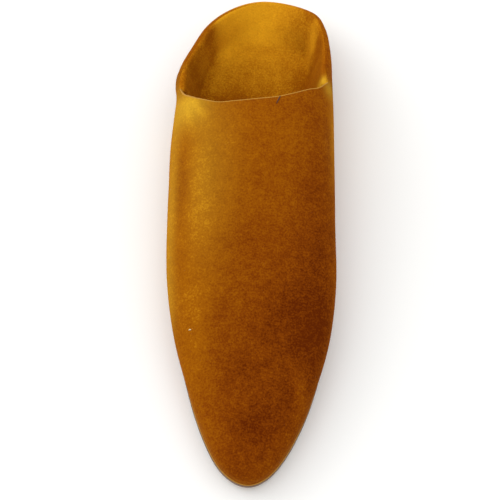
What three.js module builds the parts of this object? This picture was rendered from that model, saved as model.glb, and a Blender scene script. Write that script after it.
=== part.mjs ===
// A right-foot babouche: a backless Moroccan slipper with a pointed toe.
// One hollow suede upper, whose back quarter is folded down over the insole, sits on a flat leather sole.
//
// Millimetres, +Z up. The toe points along -Y, the heel along +Y, and +X is the inner side of the foot.
// Tables place their rows by the distance from the toe tip; `outer` is the little-toe side (-X) and
// `inner` the big-toe side (+X). Half widths and the crown are interpolated as squares, so that an
// outline which closes to zero width ends in a true round.
import * as THREE from "three";

// ---- Driving sizes ----------------------------------------------------------------------------------

const WALL = 1.2; // thickness of the lined upper
const SOLE_THICKNESS = 3;
const INSOLE_THICKNESS = 1.5;
const GAP = 0.3; // between pieces that meet
const FEATHER_INSET = 0.6; // from the sole's edge in to the foot of the upper
const INSOLE_INSET = 3; // from the sole's edge in to the insole's edge
const TOE_SPRING = 4; // rise of the sole at the toe tip
const SPRING_START = 58; // from the toe tip, where the spring begins
const WAIST_RISE = 1.4; // rise of the sole under the arch
const WAIST_START = 130;
const WAIST_END = 200;
const ROUND = 2.5; // exponent of the flattened arch over the instep, 2 being an ellipse
const WALL_START = 0.44; // angle, in radians, at which the wall leaves the sole
const FLAP_CLEARANCE = 0.5; // under the folded quarter, above the insole
const FLAP_ROLL = 1.9; // radius of the fold on its inner side
const BOWL_SOFTNESS = 1; // millimetres of height over which the sides of the bowl merge
const BLEND = 0.14; // share of the quarter over which the arch turns into the fold
const FOLD_UPRIGHT = 0.6; // how far up the quarter stands straight before it curls over

// Outline of the sole.
const SOLE = table(["from_toe", "outer", "inner"], [
  [0, 0, 0],
  [8, 13.9, 13.1],
  [22, 21.9, 21.5],
  [45, 30.4, 30.2],
  [72, 37.2, 36.0],
  [98, 39.8, 37.6],
  [130, 39.4, 35.4],
  [165, 37.2, 32.8],
  [200, 34.4, 31.0],
  [228, 32.0, 30.6],
  [246, 26.4, 26.6],
  [258, 16.4, 16.8],
  [264, 0, 0],
]);

// The last: widest half widths of the upper, how high above its foot they lie, and the arch above them.
const LAST = table(["from_toe", "outer", "inner", "bulge", "crown"], [
  [0.6, 0, 0, 4.0, 0],
  [8.6, 13.9, 13.2, 5.0, 7.0],
  [22, 21.5, 21.3, 7.5, 9.5],
  [45, 30.7, 30.4, 11.0, 11.5],
  [72, 39.3, 37.5, 15.0, 13.0],
  [98, 43.8, 39.8, 17.6, 15.0],
  [130, 45.4, 38.6, 20.2, 18.0],
  [165, 45.4, 37.3, 21.5, 21.5],
  [192, 44.4, 36.2, 22.5, 23.5],
  [210, 44.1, 35.2, 22.0, 24.0],
  [228, 37.7, 33.8, 19.5, 24.0],
  [242, 31.5, 31.2, 16.0, 24.0],
  [251, 25.2, 27.1, 13.0, 24.0],
  [258, 17.9, 19.1, 10.0, 24.0],
  [265, 0, 0, 7.0, 24.0],
]);

// The fold along the top of the quarter: its height above the floor, how far in from the widest
// outline it lies on each side, how steeply (in degrees) the leather falls inside it, and the radius
// of the bowl at its foot.
const FOLD_HEIGHTS = ["outer_height", "inner_height"];
const FOLD_ROLLS = ["outer_roll", "inner_roll"];
const FOLD = table(["from_toe", ...FOLD_HEIGHTS, ...FOLD_ROLLS, "steep", "bowl"], [
  [190, 40.0, 41.0, 1.7, 2.6, 76, 5],
  [202, 37.0, 38.6, 1.7, 2.8, 76, 5],
  [214, 34.0, 36.5, 2.4, 3.6, 76, 5],
  [228, 30.5, 34.0, 2.6, 3.3, 77, 5.5],
  [242, 26.0, 30.0, 2.4, 2.8, 74, 7],
  [254, 20.5, 25.0, 2.2, 2.4, 52, 16],
  [265, 15.0, 15.0, 2.2, 2.2, 24, 34],
]);

// Where the vamp's top edge meets the fold on each side.
const PINCH = { outer: 199.0, inner: 204.5 };

// The vamp's top edge between the two pinches, by its place across the foot.
const THROAT = table(["across", "from_toe"], [
  [-42.2, 196.8],
  [-40.2, 193.8],
  [-36.2, 190.6],
  [-30, 187.9],
  [-23, 185.8],
  [-14, 186.2],
  [-3, 187.6],
  [9, 189.8],
  [16, 192.4],
  [23, 195.8],
  [29, 199.3],
]);

// The free edge of the folded quarter between the pinches; it lies low, under the vamp.
const FLAP_EDGE = table(["across", "from_toe"], [
  [-39.6, 198.2],
  [-38.2, 196.6],
  [-37, 195.4],
  [-35.4, 194.8],
  [-33, 195.2],
  [-26, 198.2],
  [-16, 201.2],
  [0, 203.0],
  [14, 203.6],
  [24, 203.0],
  [28, 202.8],
  [29.4, 203.0],
  [31, 203.6],
]);

const VAMP_COLUMNS = 22; // on each side, from the toe to the pinch
const QUARTER_COLUMNS = 16; // on each side, from the pinch to the back of the heel
const PINCH_CROWDING = 1.5; // exponent that bunches those columns near the pinch
const WALL_ROWS = 4; // from the sole to the widest outline
const ARCH_ROWS = 10; // from there to the top edge or the fold
const FLAP_ROWS = 12; // from the fold to the free edge
const FLAP_CROWDING = 1.6; // exponent that bunches those rows near the fold
const CREST_STATIONS = 160; // on each side, for measuring how far inside the fold a point lies
const SOLE_STATIONS = 44;
const NORMAL_ROUNDS = 2; // of evening out the upper's normals

// ---- Interpolation ----------------------------------------------------------------------------------

function table(columns, rows) {
  return rows.map((row) => Object.fromEntries(columns.map((name, i) => [name, row[i]])));
}

const clamp01 = (v) => THREE.MathUtils.clamp(v, 0, 1);
const lerp = THREE.MathUtils.lerp;
const smooth = (v) => THREE.MathUtils.smoothstep(v, 0, 1);

// A smooth curve through (x, y) pairs, evaluated at x; its slope at a row is weighted by the spacing.
function curveThrough(pairs, x) {
  const last = pairs.length - 1;
  const at = THREE.MathUtils.clamp(x, pairs[0][0], pairs[last][0]);
  let i = 0;
  while (i < last - 1 && at > pairs[i + 1][0]) i += 1;
  const step = (k) => pairs[k + 1][0] - pairs[k][0];
  const rise = (k) => (pairs[k + 1][1] - pairs[k][1]) / step(k);
  const slope = (k) => {
    if (k === 0) return rise(0);
    if (k === last) return rise(last - 1);
    return (rise(k - 1) * step(k) + rise(k) * step(k - 1)) / (step(k) + step(k - 1));
  };
  const h = step(i);
  const t = (at - pairs[i][0]) / h;
  const keep = (1 - t) * (1 - t);
  const take = t * t;
  return (
    pairs[i][1] * (1 + 2 * t) * keep +
    slope(i) * h * t * keep +
    pairs[i + 1][1] * take * (3 - 2 * t) +
    slope(i + 1) * h * take * (t - 1)
  );
}

function value(rows, column, fromToe) {
  return curveThrough(rows.map((row) => [row.from_toe, row[column]]), fromToe);
}

function roundValue(rows, column, fromToe) {
  const squared = curveThrough(rows.map((row) => [row.from_toe, row[column] ** 2]), fromToe);
  return Math.sqrt(Math.max(0, squared));
}

// ---- Outlines in plan -------------------------------------------------------------------------------

const SIGN = { outer: -1, inner: 1 };
const sideOf = (x) => (x < 0 ? "outer" : "inner");

// A point of an outline at an angle from 0, the toe tip, to pi, the back of the heel.
function outlinePoint(rows, side, angle) {
  const toe = rows[0].from_toe;
  const heel = rows[rows.length - 1].from_toe;
  const fromToe = toe + ((heel - toe) * (1 - Math.cos(angle))) / 2;
  return new THREE.Vector2(SIGN[side] * roundValue(rows, side, fromToe), fromToe);
}

// The unit vector in plan that points from the outline into the shoe.
function inward(rows, side, angle) {
  const step = 1e-3;
  if (angle < step) return new THREE.Vector2(0, 1);
  if (angle > Math.PI - step) return new THREE.Vector2(0, -1);
  const before = outlinePoint(rows, side, angle - step);
  const along = outlinePoint(rows, side, angle + step).sub(before).normalize();
  return new THREE.Vector2(-SIGN[side] * along.y, SIGN[side] * along.x);
}

function inset(rows, side, angle, distance) {
  return outlinePoint(rows, side, angle).addScaledVector(inward(rows, side, angle), distance);
}

// Height of the sole's underside: flat under the forefoot and heel, raised at the toe and the arch.
function soleRise(fromToe) {
  const toe = clamp01((SPRING_START - fromToe) / SPRING_START);
  const waist = clamp01((fromToe - WAIST_START) / (WAIST_END - WAIST_START));
  return TOE_SPRING * toe ** 2 + WAIST_RISE * Math.sin(Math.PI * waist) ** 2;
}

const footOfUpper = (fromToe) => soleRise(fromToe) + SOLE_THICKNESS + GAP;
const flapFloor = (fromToe) => footOfUpper(fromToe) + INSOLE_THICKNESS + FLAP_CLEARANCE + WALL;
const bulgeHeight = (fromToe) => footOfUpper(fromToe) + value(LAST, "bulge", fromToe);

// Height of the arch over the foot at a place in plan.
function archHeight(x, fromToe) {
  const half = roundValue(LAST, sideOf(x), fromToe);
  const across = half > 0 ? Math.min(1, Math.abs(x) / half) : 1;
  const share = (1 - across ** ROUND) ** (1 / ROUND);
  return bulgeHeight(fromToe) + roundValue(LAST, "crown", fromToe) * share;
}

// ---- The upper's columns ----------------------------------------------------------------------------

// A column climbs from the sole to the top edge at one angle of the outline. `forward` runs from 0 at
// the toe to 1 at the pinch, and `back` from 0 at the pinch to 1 at the back of the heel.
function column(side, angle, forward, back) {
  const widest = outlinePoint(LAST, side, angle);
  const foot = inset(SOLE, side, angle, FEATHER_INSET);
  return {
    side,
    angle,
    forward,
    back,
    widest,
    foot,
    footHeight: footOfUpper(foot.y),
    widestHeight: bulgeHeight(widest.y),
  };
}

function pinchAngle(side) {
  const toe = LAST[0].from_toe;
  const heel = LAST[LAST.length - 1].from_toe;
  return Math.acos(1 - (2 * (PINCH[side] - toe)) / (heel - toe));
}

// The fold's crest: in from the widest outline by the roll's width.
function foldCrest(col) {
  const roll = value(FOLD, `${col.side}_roll`, col.widest.y);
  return col.widest.clone().addScaledVector(inward(LAST, col.side, col.angle), roll);
}

// The crest leaves the arch at the pinch and takes its own height behind it.
function crestHeight(col) {
  const crest = foldCrest(col);
  const own = value(FOLD, `${col.side}_height`, col.widest.y);
  return lerp(archHeight(crest.x, crest.y), own, smooth(col.back / BLEND));
}

function pinchPoint(side) {
  return foldCrest(column(side, pinchAngle(side), 1, 0));
}

const OUTER_PINCH = pinchPoint("outer");
const INNER_PINCH = pinchPoint("inner");

// An edge across the foot, from pinch to pinch, as pairs of its place across and from the toe.
function edgeAcross(rows) {
  const between = rows.map((row) => [row.across, row.from_toe]);
  return [OUTER_PINCH.toArray(), ...between, INNER_PINCH.toArray()];
}

function throatPoint(side, forward) {
  const pinch = side === "outer" ? OUTER_PINCH : INNER_PINCH;
  const across = pinch.x * forward;
  return new THREE.Vector2(across, curveThrough(edgeAcross(THROAT), across));
}

const place = (plan, height) => new THREE.Vector3(plan.x, plan.y, height);

// From the foot out to the widest outline: a quarter of an ellipse that starts part of the way round.
function wallPoint(col, share) {
  const angle = lerp(WALL_START, Math.PI / 2, share);
  const out = (Math.sin(angle) - Math.sin(WALL_START)) / (1 - Math.sin(WALL_START));
  const up = 1 - Math.cos(angle) / Math.cos(WALL_START);
  return place(col.foot.clone().lerp(col.widest, out), lerp(col.footHeight, col.widestHeight, up));
}

// From the widest outline in to the vamp's top edge, or up and over into the fold.
function archPoint(col, share) {
  const turn = (share * Math.PI) / 2;
  const target = col.back > 0 ? foldCrest(col) : throatPoint(col.side, col.forward);
  const arch = col.widest.clone().lerp(target, 1 - Math.cos(turn));
  const fold = col.widest.clone().lerp(target, share ** 3);
  const rising = 3 * share * (1 - share) ** 2 * FOLD_UPRIGHT + 3 * share ** 2 * (1 - share) + share ** 3;
  const folded = smooth(col.back / BLEND);
  const plan = arch.lerp(fold, folded);
  const foldHeight = lerp(col.widestHeight, crestHeight(col), rising);
  return place(plan, lerp(archHeight(plan.x, plan.y), foldHeight, folded));
}

// Angle at which the arch still climbs where it meets the crest; it fades out behind the pinch.
function crestClimb(col) {
  const step = 0.02;
  const rise = archPoint(col, 1).sub(archPoint(col, 1 - step));
  return Math.atan2(rise.z, Math.hypot(rise.x, rise.y));
}

// The crest as a chain of close stations from the outer pinch round the heel to the inner one. Each
// says how the leather falls inside it: over its own roll, straight down, and round the bowl.
function crestStations() {
  const stations = [];
  const add = (side, back) => {
    const col = column(side, lerp(pinchAngle(side), Math.PI, back), 1, back);
    const plan = foldCrest(col);
    const top = crestHeight(col);
    const climb = crestClimb(col);
    const bowl = value(FOLD, "bowl", col.widest.y);
    const depth = top - flapFloor(plan.y);
    const rounded = (FLAP_ROLL * Math.cos(climb) + bowl - depth) / (FLAP_ROLL + bowl);
    const steepest = THREE.MathUtils.degToRad(value(FOLD, "steep", col.widest.y));
    const steep = Math.min(steepest, Math.acos(Math.max(-1, rounded)));
    const rolled = FLAP_ROLL * (Math.cos(climb) - Math.cos(steep));
    const straight = Math.max(0, depth - rolled - bowl * (1 - Math.cos(steep))) / Math.tan(steep);
    stations.push({ x: plan.x, y: plan.y, top, climb, bowl, steep, straight });
  };
  for (let i = 0; i <= CREST_STATIONS; i += 1) add("outer", i / CREST_STATIONS);
  for (let i = CREST_STATIONS - 1; i >= 0; i -= 1) add("inner", i / CREST_STATIONS);
  return stations;
}

// The chain's nearest place to a point in plan, with the distance to it.
function nearestStation(stations, plan) {
  let best = { distance: Infinity };
  for (let i = 0; i < stations.length - 1; i += 1) {
    const [a, b] = [stations[i], stations[i + 1]];
    const run = new THREE.Vector2(b.x - a.x, b.y - a.y);
    const share = clamp01(new THREE.Vector2(plan.x - a.x, plan.y - a.y).dot(run) / run.lengthSq());
    const distance = Math.hypot(plan.x - lerp(a.x, b.x, share), plan.y - lerp(a.y, b.y, share));
    if (distance < best.distance) best = { distance, a, b, share };
  }
  const names = Object.keys(best.a);
  const between = names.map((name) => [name, lerp(best.a[name], best.b[name], best.share)]);
  return { ...Object.fromEntries(between), distance: best.distance };
}

// How far below the crest the leather lies at a distance inside it.
function fall({ climb, bowl, steep, straight }, distance) {
  const rollWidth = FLAP_ROLL * (Math.sin(steep) + Math.sin(climb));
  if (distance < rollWidth) {
    const turn = Math.asin(distance / FLAP_ROLL - Math.sin(climb));
    return FLAP_ROLL * (Math.cos(climb) - Math.cos(turn));
  }
  const rolled = FLAP_ROLL * (Math.cos(climb) - Math.cos(steep));
  const past = distance - rollWidth;
  if (past < straight) return rolled + past * Math.tan(steep);
  const toFloor = Math.max(0, straight + bowl * Math.sin(steep) - past);
  const round = bowl * (Math.sqrt(1 - (toFloor / bowl) ** 2) - Math.cos(steep));
  return rolled + straight * Math.tan(steep) + round;
}

// Height of the folded quarter at a place in plan. Close to the crest its nearest place rules; further
// in, all of it is weighed, the highest most, so that the bowl has no crease.
function flapHeight(stations, plan) {
  const nearest = nearestStation(stations, plan);
  const close = nearest.top - fall(nearest, nearest.distance);
  const heights = stations.map((s) => s.top - fall(s, Math.hypot(plan.x - s.x, plan.y - s.y)));
  const highest = Math.max(...heights);
  const weights = heights.map((height) => Math.exp((height - highest) / BOWL_SOFTNESS));
  const total = weights.reduce((sum, weight) => sum + weight, 0);
  const settled = heights.reduce((sum, height, i) => sum + (height * weights[i]) / total, 0);
  return lerp(close, settled, smooth((nearest.distance - 2 * FLAP_ROLL) / (3 * FLAP_ROLL)));
}

// The quarter's free edge in plan, from one pinch to the other.
function flapEdge(col) {
  const pinch = col.side === "outer" ? OUTER_PINCH : INNER_PINCH;
  const across = pinch.x * (1 - col.back);
  return new THREE.Vector2(across, curveThrough(edgeAcross(FLAP_EDGE), across));
}

const CREST = crestStations();

function flapPoint(col, share) {
  const plan = foldCrest(col).lerp(flapEdge(col), share ** FLAP_CROWDING);
  return place(plan, flapHeight(CREST, plan));
}

// The columns of one side from the toe to the back of the heel.
function sideColumns(side) {
  const pinch = pinchAngle(side);
  const columns = [];
  for (let i = 0; i <= VAMP_COLUMNS; i += 1) {
    const forward = i / VAMP_COLUMNS;
    columns.push(column(side, pinch * forward, forward, 0));
  }
  for (let i = 1; i <= QUARTER_COLUMNS; i += 1) {
    const back = (i / QUARTER_COLUMNS) ** PINCH_CROWDING;
    columns.push(column(side, lerp(pinch, Math.PI, back), 1, back));
  }
  return columns;
}

// The whole ring, counter-clockwise from the toe: up the inner side, and back along the outer one.
function ringColumns() {
  const inner = sideColumns("inner");
  const outer = sideColumns("outer").slice(1, -1).reverse();
  return [...inner, ...outer];
}

// ---- Meshes -----------------------------------------------------------------------------------------

function meshOf(name, points, triangles, material) {
  const geometry = new THREE.BufferGeometry();
  const flat = points.flatMap((p) => [p.x, p.y, p.z]);
  geometry.setAttribute("position", new THREE.Float32BufferAttribute(flat, 3));
  geometry.setIndex(triangles.flat());
  geometry.computeVertexNormals();
  const mesh = new THREE.Mesh(geometry, material);
  mesh.name = name;
  return mesh;
}

// The outer skin of the upper, as points and triangles, with the open edges of its foot and top.
function upperSkin() {
  const columns = ringColumns();
  const points = [];
  const triangles = [];
  const grid = columns.map((col) => {
    const ids = [];
    const add = (point) => ids.push(points.push(point) - 1);
    for (let j = 0; j <= WALL_ROWS; j += 1) add(wallPoint(col, j / WALL_ROWS));
    for (let j = 1; j <= ARCH_ROWS; j += 1) add(archPoint(col, j / ARCH_ROWS));
    for (let j = 1; j <= FLAP_ROWS; j += 1) {
      if (col.back > 0) add(flapPoint(col, j / FLAP_ROWS));
      else ids.push(ids[WALL_ROWS + ARCH_ROWS]); // the vamp ends at its top edge
    }
    return ids;
  });
  for (let i = 0; i < grid.length; i += 1) {
    const here = grid[i];
    const next = grid[(i + 1) % grid.length];
    for (let j = 0; j < here.length - 1; j += 1) {
      for (const tri of [[here[j], next[j], next[j + 1]], [here[j], next[j + 1], here[j + 1]]]) {
        if (new Set(tri).size === 3) triangles.push(tri);
      }
    }
  }
  return {
    points,
    triangles,
    foot: grid.map((ids) => ids[0]),
    top: grid.map((ids) => ids[ids.length - 1]),
  };
}

// Unit normals of a skin's points, each face weighted by its angle at the point, then evened out over
// the neighbours so that the lining follows the tight fold without crossing itself.
function skinNormals(points, triangles) {
  const normals = points.map(() => new THREE.Vector3());
  for (const tri of triangles) {
    const [a, b, c] = tri.map((id) => points[id]);
    const face = new THREE.Triangle(a, b, c).getNormal(new THREE.Vector3());
    tri.forEach((id, k) => {
      const toNext = points[tri[(k + 1) % 3]].clone().sub(points[id]);
      const toLast = points[tri[(k + 2) % 3]].clone().sub(points[id]);
      normals[id].addScaledVector(face, toNext.angleTo(toLast));
    });
  }
  let even = normals.map((normal) => normal.normalize());
  for (let round = 0; round < NORMAL_ROUNDS; round += 1) {
    const total = even.map((normal) => normal.clone());
    for (const tri of triangles) {
      tri.forEach((id, k) => {
        total[id].add(even[tri[(k + 1) % 3]]);
        total[id].add(even[tri[(k + 2) % 3]]);
      });
    }
    even = total.map((normal) => normal.normalize());
  }
  return even;
}

// A strip between an edge of the outer skin and the same edge of the inner one.
function rim(edge, offset, flip) {
  const strip = [];
  for (let i = 0; i < edge.length; i += 1) {
    const a = edge[i];
    const b = edge[(i + 1) % edge.length];
    const quad = [[a, b, b + offset], [a, b + offset, a + offset]];
    strip.push(...quad.map((tri) => (flip ? tri.toReversed() : tri)));
  }
  return strip;
}

// The upper: the outer skin, an inner skin one wall further in, and the two cut edges.
function upper() {
  const skin = upperSkin();
  const normals = skinNormals(skin.points, skin.triangles);
  const lining = skin.points.map((p, i) => p.clone().addScaledVector(normals[i], -WALL));
  const offset = skin.points.length;
  const triangles = [
    ...skin.triangles,
    ...skin.triangles.map((tri) => tri.map((id) => id + offset).reverse()),
    ...rim(skin.top, offset, false),
    ...rim(skin.foot, offset, true),
  ];
  return meshOf("upper", [...skin.points, ...lining], triangles, SUEDE);
}

// A flat layer under the foot that follows the sole's rise, from `bottom` to `top` above it.
function layer(name, insetBy, bottom, top, material) {
  const points = [];
  const triangles = [];
  const stations = [];
  const edge = (side, angle) => inset(SOLE, side, angle, insetBy);
  for (let i = 0; i <= SOLE_STATIONS; i += 1) {
    const angle = (Math.PI * i) / SOLE_STATIONS;
    const tip = i === 0 || i === SOLE_STATIONS;
    const plans = tip ? [edge("inner", angle)] : [edge("outer", angle), edge("inner", angle)];
    stations.push(
      plans.map((plan) => [bottom, top].map((level) => {
        return points.push(place(plan, soleRise(plan.y) + level)) - 1;
      })),
    );
  }
  const LOW = 0;
  const HIGH = 1;
  for (let i = 0; i < SOLE_STATIONS; i += 1) {
    const outer = [stations[i][0], stations[i + 1][0]];
    const inner = [stations[i].at(-1), stations[i + 1].at(-1)];
    const quads = [
      [outer[0][HIGH], inner[0][HIGH], inner[1][HIGH], outer[1][HIGH]],
      [outer[0][LOW], outer[1][LOW], inner[1][LOW], inner[0][LOW]],
      [inner[0][LOW], inner[1][LOW], inner[1][HIGH], inner[0][HIGH]],
      [outer[0][LOW], outer[0][HIGH], outer[1][HIGH], outer[1][LOW]],
    ];
    for (const [a, b, c, d] of quads) {
      for (const tri of [[a, b, c], [a, c, d]]) {
        if (new Set(tri).size === 3) triangles.push(tri);
      }
    }
  }
  return meshOf(name, points, triangles, material);
}

// ---- The slipper ------------------------------------------------------------------------------------

const SUEDE = new THREE.MeshStandardMaterial({ color: 0xa8650c, roughness: 0.95, metalness: 0 });
const SOLE_LEATHER = new THREE.MeshStandardMaterial({ color: 0xa8743c, roughness: 0.6, metalness: 0 });
const SOCK_LEATHER = new THREE.MeshStandardMaterial({ color: 0xb98a55, roughness: 0.7, metalness: 0 });

const INSOLE_BOTTOM = SOLE_THICKNESS + GAP;

const slipper = new THREE.Group();
slipper.add(
  layer("outsole", 0, 0, SOLE_THICKNESS, SOLE_LEATHER),
  layer("insole", INSOLE_INSET, INSOLE_BOTTOM, INSOLE_BOTTOM + INSOLE_THICKNESS, SOCK_LEATHER),
  upper(),
);

// The origin is under the middle of the slipper's box, on the floor.
const box = new THREE.Box3().setFromObject(slipper);
const middle = box.getCenter(new THREE.Vector3());
slipper.position.set(-middle.x, -middle.y, -box.min.z);

export default slipper;
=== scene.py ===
# %% [markdown]
# # A suede babouche, right foot
# A babouche is a backless Moroccan slipper. This one is a soft shell of mustard suede on a thin flat
# leather sole. Its toe runs out to a point, and the back quarter is folded down flat over the insole,
# so that the fold makes a soft thin rim round the heel. A shoe like this has hardly a straight line
# in it, so it is built the way a last maker draws one: a few measured stations along the foot, each
# with its half widths and heights, and smooth curves through them.

import math

import bpy
import numpy as np
from mathutils import Matrix, Vector


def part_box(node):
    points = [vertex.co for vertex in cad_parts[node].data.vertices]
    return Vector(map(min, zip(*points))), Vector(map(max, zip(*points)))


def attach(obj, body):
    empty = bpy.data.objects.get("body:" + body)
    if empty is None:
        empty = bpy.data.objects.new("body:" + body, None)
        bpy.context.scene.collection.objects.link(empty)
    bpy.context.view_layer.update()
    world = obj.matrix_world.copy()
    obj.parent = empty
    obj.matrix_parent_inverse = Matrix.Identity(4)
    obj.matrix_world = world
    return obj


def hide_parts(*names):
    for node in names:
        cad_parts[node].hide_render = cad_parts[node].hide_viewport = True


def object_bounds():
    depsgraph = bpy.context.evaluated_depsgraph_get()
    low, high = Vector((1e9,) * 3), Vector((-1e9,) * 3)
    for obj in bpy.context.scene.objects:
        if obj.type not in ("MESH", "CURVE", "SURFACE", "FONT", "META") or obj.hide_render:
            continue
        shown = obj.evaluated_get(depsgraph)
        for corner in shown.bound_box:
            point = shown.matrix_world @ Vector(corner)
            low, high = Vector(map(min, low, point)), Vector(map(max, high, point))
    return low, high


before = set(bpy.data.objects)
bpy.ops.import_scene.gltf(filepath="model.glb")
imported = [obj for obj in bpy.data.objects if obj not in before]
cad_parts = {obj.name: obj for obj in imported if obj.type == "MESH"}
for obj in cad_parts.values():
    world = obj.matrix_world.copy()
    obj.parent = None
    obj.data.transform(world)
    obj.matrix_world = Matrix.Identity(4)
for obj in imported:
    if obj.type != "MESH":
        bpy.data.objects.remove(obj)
cad_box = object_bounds()
MM = 0.001
print("cad box, mm:", [[round(c / MM, 1) for c in corner] for corner in cad_box])

# %% [markdown]
# ## The measured sizes
# The toe points along -Y. Each row of a table is a station, placed by its distance from the toe tip,
# and `outer` is the little-toe side. The sizes are those of the solid part, so the two agree. Only the
# flap's free edge differs: it is tucked a little further under the vamp, so that no gap shows there.

# %% Sizes in millimetres
WALL = 1.2
SOLE_THICKNESS = 3.0
INSOLE_THICKNESS = 1.5
GAP = 0.3  # between pieces that meet
FEATHER_INSET = 0.6  # from the sole's edge in to the foot of the upper
INSOLE_INSET = 3.0  # from the sole's edge in to the insole's edge
TOE_SPRING, SPRING_START = 4.0, 58.0
WAIST_RISE, WAIST_START, WAIST_END = 1.4, 130.0, 200.0
ROUND = 2.5  # exponent of the arch over the instep: 2 is an ellipse, and more is flatter on top
WALL_START = 0.44  # angle, in radians, at which the wall leaves the sole
FLAP_CLEARANCE = 0.5  # under the folded quarter, above the insole
FLAP_ROLL = 1.9  # radius of the fold on its inner side
BOWL_SOFTNESS = 1.0  # height over which the sides of the bowl merge
BLEND = 0.14  # share of the quarter over which the arch turns into the fold
FOLD_UPRIGHT = 0.6  # how far up the quarter stands straight before it curls over
PINCH = {"outer": 199.0, "inner": 204.5}  # where the vamp's top edge meets the fold
SIGN = {"outer": -1.0, "inner": 1.0}
print("under the heel, mm:", SOLE_THICKNESS + GAP + INSOLE_THICKNESS + FLAP_CLEARANCE + WALL)


# %% The sole's outline and the last
def table(columns, rows):
    """Columns by name, each as an array down the rows."""
    return {name: np.array([row[i] for row in rows], float) for i, name in enumerate(columns)}


SOLE = table(["from_toe", "outer", "inner"], [
    [0, 0, 0],
    [8, 13.9, 13.1],
    [22, 21.9, 21.5],
    [45, 30.4, 30.2],
    [72, 37.2, 36.0],
    [98, 39.8, 37.6],
    [130, 39.4, 35.4],
    [165, 37.2, 32.8],
    [200, 34.4, 31.0],
    [228, 32.0, 30.6],
    [246, 26.4, 26.6],
    [258, 16.4, 16.8],
    [264, 0, 0],
])
LAST = table(["from_toe", "outer", "inner", "bulge", "crown"], [
    [0.6, 0, 0, 4.0, 0],
    [8.6, 13.9, 13.2, 5.0, 7.0],
    [22, 21.5, 21.3, 7.5, 9.5],
    [45, 30.7, 30.4, 11.0, 11.5],
    [72, 39.3, 37.5, 15.0, 13.0],
    [98, 43.8, 39.8, 17.6, 15.0],
    [130, 45.4, 38.6, 20.2, 18.0],
    [165, 45.4, 37.3, 21.5, 21.5],
    [192, 44.4, 36.2, 22.5, 23.5],
    [210, 44.1, 35.2, 22.0, 24.0],
    [228, 37.7, 33.8, 19.5, 24.0],
    [242, 31.5, 31.2, 16.0, 24.0],
    [251, 25.2, 27.1, 13.0, 24.0],
    [258, 17.9, 19.1, 10.0, 24.0],
    [265, 0, 0, 7.0, 24.0],
])
print("stations:", len(SOLE["from_toe"]), "sole,", len(LAST["from_toe"]), "last")

# %% The fold, the throat and the flap's free edge
FOLD = table(["from_toe", "outer_height", "inner_height", "outer_roll", "inner_roll", "steep", "bowl"], [
    [190, 40.0, 41.0, 1.7, 2.6, 76, 5],
    [202, 37.0, 38.6, 1.7, 2.8, 76, 5],
    [214, 34.0, 36.5, 2.4, 3.6, 76, 5],
    [228, 30.5, 34.0, 2.6, 3.3, 77, 5.5],
    [242, 26.0, 30.0, 2.4, 2.8, 74, 7],
    [254, 20.5, 25.0, 2.2, 2.4, 52, 16],
    [265, 15.0, 15.0, 2.2, 2.2, 24, 34],
])
THROAT = table(["across", "from_toe"], [
    [-42.2, 196.8],
    [-40.2, 193.8],
    [-36.2, 190.6],
    [-30, 187.9],
    [-23, 185.8],
    [-14, 186.2],
    [-3, 187.6],
    [9, 189.8],
    [16, 192.4],
    [23, 195.8],
    [29, 199.3],
])
FLAP_EDGE = table(["across", "from_toe"], [
    [-40.7, 197.0],
    [-39.6, 194.8],
    [-38.2, 193.2],
    [-37, 192.6],
    [-35.4, 192.8],
    [-33, 194.2],
    [-26, 198.2],
    [-16, 201.2],
    [0, 203.0],
    [14, 203.4],
    [24, 202.0],
    [28, 200.8],
    [30, 200.8],
    [31.4, 202.0],
])
print("stations:", len(FOLD["from_toe"]), "fold,", len(THROAT["across"]), "throat")

# %% [markdown]
# ## Smooth curves through the stations
# Straight lines between stations would show as facets, so each column is read along a smooth cubic.
# Half widths are interpolated as squares: where an outline closes to nothing, at the toe and at the
# back of the heel, its square falls away in a straight line, and that makes a true round end.

# %% Curves
def curve_through(xs, ys, x):
    """A smooth curve through the points, read at every x; the slopes are weighted by the spacing."""
    step = np.diff(xs)
    rise = np.diff(ys) / step
    slope = np.concatenate([
        rise[:1],
        (rise[:-1] * step[1:] + rise[1:] * step[:-1]) / (step[1:] + step[:-1]),
        rise[-1:],
    ])
    x = np.clip(x, xs[0], xs[-1])
    i = np.clip(np.searchsorted(xs, x, side="right") - 1, 0, len(step) - 1)
    t = (x - xs[i]) / step[i]
    keep, take = (1 - t) ** 2, t ** 2
    return (
        ys[i] * (1 + 2 * t) * keep
        + slope[i] * step[i] * t * keep
        + ys[i + 1] * take * (3 - 2 * t)
        + slope[i + 1] * step[i] * take * (t - 1)
    )


def value(rows, column, from_toe):
    """A column of a table, read at any distance from the toe."""
    return curve_through(rows["from_toe"], rows[column], from_toe)


def round_value(rows, column, from_toe):
    """The same for a column that closes in a true round."""
    return np.sqrt(np.maximum(0, curve_through(rows["from_toe"], rows[column] ** 2, from_toe)))


def smooth(v):
    """Eases from 0 to 1."""
    v = np.clip(v, 0, 1)
    return v * v * (3 - 2 * v)


def lerp(a, b, t):
    return a + (b - a) * t


BALL = 98.0
print("ball width, mm:", round(float(sum(round_value(LAST, side, BALL) for side in SIGN)), 1))


# %% Outlines in plan
def outline(rows, side, angle):
    """A point of an outline in plan, at an angle from 0 at the toe tip to pi at the heel."""
    toe, heel = rows["from_toe"][0], rows["from_toe"][-1]
    from_toe = toe + (heel - toe) * (1 - np.cos(angle)) / 2
    return np.stack([SIGN[side] * round_value(rows, side, from_toe), from_toe], -1)


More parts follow.
